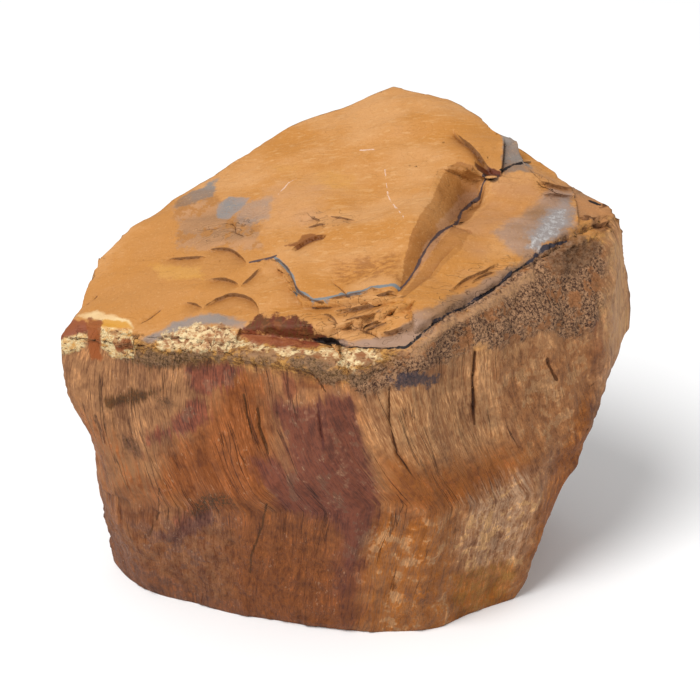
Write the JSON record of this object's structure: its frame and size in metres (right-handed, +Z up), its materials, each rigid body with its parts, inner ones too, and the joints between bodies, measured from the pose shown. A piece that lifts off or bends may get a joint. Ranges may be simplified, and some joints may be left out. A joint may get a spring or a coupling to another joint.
{
  "type": "rough tiger's eye",
  "caption": "Hand-sized rough chunk of tiger's eye: an ochre split cap that slopes to the front left over kinked brown fibres, on a flat base.",
  "frame": {"origin": "middle of the stone's outline, on the surface that it stands on", "axes": "+X along the longest extent, to the right of the fibrous front; +Y towards the back; +Z up"},
  "size_m": [0.0904, 0.0664, 0.0719],
  "materials": {
    "stone": "rough split stone, dull ochre cap over silky brown fibres"
  },
  "bodies": {
    "root": {"tigers_eye": "stone"}
  },
  "joints": []
}
